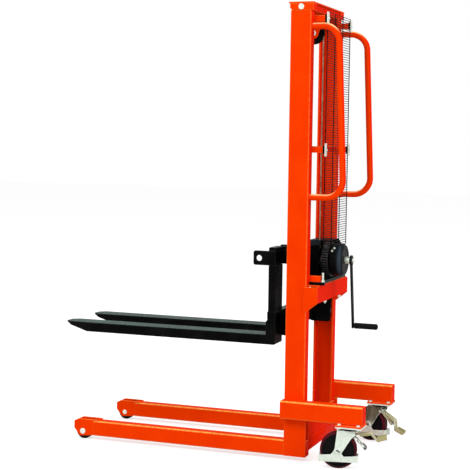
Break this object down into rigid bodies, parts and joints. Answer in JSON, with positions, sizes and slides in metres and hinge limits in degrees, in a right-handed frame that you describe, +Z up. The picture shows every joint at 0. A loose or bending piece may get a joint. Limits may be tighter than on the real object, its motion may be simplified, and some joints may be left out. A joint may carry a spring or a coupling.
{
  "type": "hand pallet stacker",
  "caption": "Manual pallet stacker: a channel mast on straddle legs, a fork carriage raised by a rope and a hand-cranked winch, and swivel casters with brakes at the rear.",
  "frame": {"origin": "middle of the footprint on the floor", "axes": "+Z up, +Y from the fork tips to the operator's side, +X to the side that the picture shows nearer"},
  "size_m": [0.6556, 1.5816, 2],
  "materials": {
    "red_paint": "gloss",
    "black_paint": "gloss",
    "zinc": "satin",
    "wire_rope": "satin",
    "grip_plastic": "matte",
    "roller_steel": "satin",
    "roller_nylon": "matte",
    "tyre_maroon": "matte",
    "wheel_core": "gloss"
  },
  "bodies": {
    "frame": {"columns": "red_paint", "mast_head": "red_paint", "head_plugs": "zinc", "sheave_cheeks": "red_paint", "sheave_pin": "zinc", "mid_brace": "red_paint", "legs": "red_paint", "leg_cheeks": "red_paint", "roller_pins": "zinc", "base_blocks": "red_paint", "cross_plate": "red_paint", "arms": "red_paint", "caster_plates": "red_paint", "caster_tops": "zinc", "caster_bolts": "zinc", "handles": "red_paint", "guard_mesh": "black_paint", "guard_tabs": "red_paint", "guard_clips": "black_paint", "guard_strips": "zinc", "winch_bracket": "red_paint", "winch_base": "black_paint", "winch_plates": "black_paint", "winch_shroud": "black_paint", "gear_cover": "black_paint", "ribbed_ring": "black_paint", "bright_bolts": "zinc", "rope_rear": "wire_rope", "rope_front": "wire_rope"},
    "carriage": {"forks": "black_paint", "lower_bar": "black_paint", "posts": "black_paint", "upper_bar": "black_paint", "carriage_plates": "black_paint", "rope_anchor": "black_paint", "roller_studs": "zinc"},
    "drum": {"drum": "black_paint", "drum_gear": "black_paint", "drum_rope": "wire_rope"},
    "crank": {"crank_shaft": "zinc", "crank_arm": "black_paint"},
    "grip": {"crank_grip": "grip_plastic"},
    "sheave": {"sheave": "black_paint"},
    "pawl": {"pawl": "black_paint"},
    "mast_roller_lower_right": {"mast_roller_lower_right": "roller_steel"},
    "mast_roller_lower_left": {"mast_roller_lower_left": "roller_steel"},
    "mast_roller_upper_right": {"mast_roller_upper_right": "roller_steel"},
    "mast_roller_upper_left": {"mast_roller_upper_left": "roller_steel"},
    "front_roller_right": {"front_roller_right": "roller_nylon"},
    "front_roller_left": {"front_roller_left": "roller_nylon"},
    "caster_yoke_right": {"caster_yoke_right": "zinc"},
    "caster_wheel_right": {"caster_tyre_right": "tyre_maroon", "caster_core_right": "wheel_core"},
    "caster_pedal_right": {"caster_pedal_right": "zinc"},
    "caster_yoke_left": {"caster_yoke_left": "zinc"},
    "caster_wheel_left": {"caster_tyre_left": "tyre_maroon", "caster_core_left": "wheel_core"},
    "caster_pedal_left": {"caster_pedal_left": "zinc"}
  },
  "joints": [
    {"name": "lift", "type": "slide", "parent": "frame", "child": "carriage", "axis": [0, 0, 1], "range_m": [-0.455, 1.059], "deforming": ["rope_front", "rope_rear"]},
    {"name": "drum_spin", "type": "hinge", "parent": "frame", "child": "drum", "pos_m": [-0.0345, 0.38522, 0.85], "axis": [0, 1, 0], "range_deg": [-756.4, 1759.5]},
    {"name": "crank_spin", "type": "hinge", "parent": "frame", "child": "crank", "pos_m": [0.0255, 0.47022, 0.875], "axis": [0, 1, 0], "range_deg": [-7035.7, 3023.4]},
    {"name": "sheave_spin", "type": "hinge", "parent": "frame", "child": "sheave", "pos_m": [0, 0.35422, 1.884], "axis": [1, 0, 0], "range_deg": [-1379.8, 593.3]},
    {"name": "grip_spin", "type": "hinge", "parent": "crank", "child": "grip", "pos_m": [0.0255, 0.62722, 0.583], "axis": [0, 1, 0], "continuous": true},
    {"name": "pawl_lift", "type": "hinge", "parent": "frame", "child": "pawl", "pos_m": [-0.0345, 0.41972, 0.934], "axis": [0, 1, 0], "range_deg": [0, 20], "stiffness_Nm_per_rad": 0.2, "springref_deg": -11.46},
    {"name": "mast_roller_lower_right_spin", "type": "hinge", "parent": "carriage", "child": "mast_roller_lower_right", "pos_m": [0.212, 0.36672, 0.615], "axis": [1, 0, 0], "range_deg": [-1597.5, 686.8]},
    {"name": "mast_roller_lower_left_spin", "type": "hinge", "parent": "carriage", "child": "mast_roller_lower_left", "pos_m": [-0.212, 0.36672, 0.615], "axis": [1, 0, 0], "range_deg": [-1597.5, 686.8]},
    {"name": "mast_roller_upper_right_spin", "type": "hinge", "parent": "carriage", "child": "mast_roller_upper_right", "pos_m": [0.212, 0.36672, 0.848], "axis": [1, 0, 0], "range_deg": [-686.8, 1597.5]},
    {"name": "mast_roller_upper_left_spin", "type": "hinge", "parent": "carriage", "child": "mast_roller_upper_left", "pos_m": [-0.212, 0.36672, 0.848], "axis": [1, 0, 0], "range_deg": [-686.8, 1597.5]},
    {"name": "front_roller_right_spin", "type": "hinge", "parent": "frame", "child": "front_roller_right", "pos_m": [0.228, -0.65978, 0.038], "axis": [1, 0, 0], "continuous": true},
    {"name": "caster_swivel_right", "type": "hinge", "parent": "frame", "child": "caster_yoke_right", "pos_m": [0.27, 0.63422, 0.168], "axis": [0, 0, 1], "continuous": true},
    {"name": "caster_wheel_right_spin", "type": "hinge", "parent": "caster_yoke_right", "child": "caster_wheel_right", "pos_m": [0.2806, 0.58434, 0.08], "axis": [0.9781, 0.2079, 0], "continuous": true},
    {"name": "caster_brake_right", "type": "hinge", "parent": "caster_yoke_right", "child": "caster_pedal_right", "pos_m": [0.26834, 0.64205, 0.147], "axis": [0.9781, 0.2079, 0], "range_deg": [-12, 0]},
    {"name": "front_roller_left_spin", "type": "hinge", "parent": "frame", "child": "front_roller_left", "pos_m": [-0.228, -0.65978, 0.038], "axis": [1, 0, 0], "continuous": true},
    {"name": "caster_swivel_left", "type": "hinge", "parent": "frame", "child": "caster_yoke_left", "pos_m": [-0.27, 0.63422, 0.168], "axis": [0, 0, 1], "continuous": true},
    {"name": "caster_wheel_left_spin", "type": "hinge", "parent": "caster_yoke_left", "child": "caster_wheel_left", "pos_m": [-0.2806, 0.58434, 0.08], "axis": [0.9781, -0.2079, 0], "continuous": true},
    {"name": "caster_brake_left", "type": "hinge", "parent": "caster_yoke_left", "child": "caster_pedal_left", "pos_m": [-0.26834, 0.64205, 0.147], "axis": [0.9781, -0.2079, 0], "range_deg": [-12, 0]}
  ],
  "couplings": [
    {"joint": "drum_spin", "follows": "lift", "rad_per_m": 28.986},
    {"joint": "crank_spin", "follows": "lift", "rad_per_m": -115.94},
    {"joint": "sheave_spin", "follows": "lift", "rad_per_m": -22.727},
    {"joint": "mast_roller_lower_right_spin", "follows": "lift", "rad_per_m": -26.316},
    {"joint": "mast_roller_lower_left_spin", "follows": "lift", "rad_per_m": -26.316},
    {"joint": "mast_roller_upper_right_spin", "follows": "lift", "rad_per_m": 26.316},
    {"joint": "mast_roller_upper_left_spin", "follows": "lift", "rad_per_m": 26.316}
  ]
}
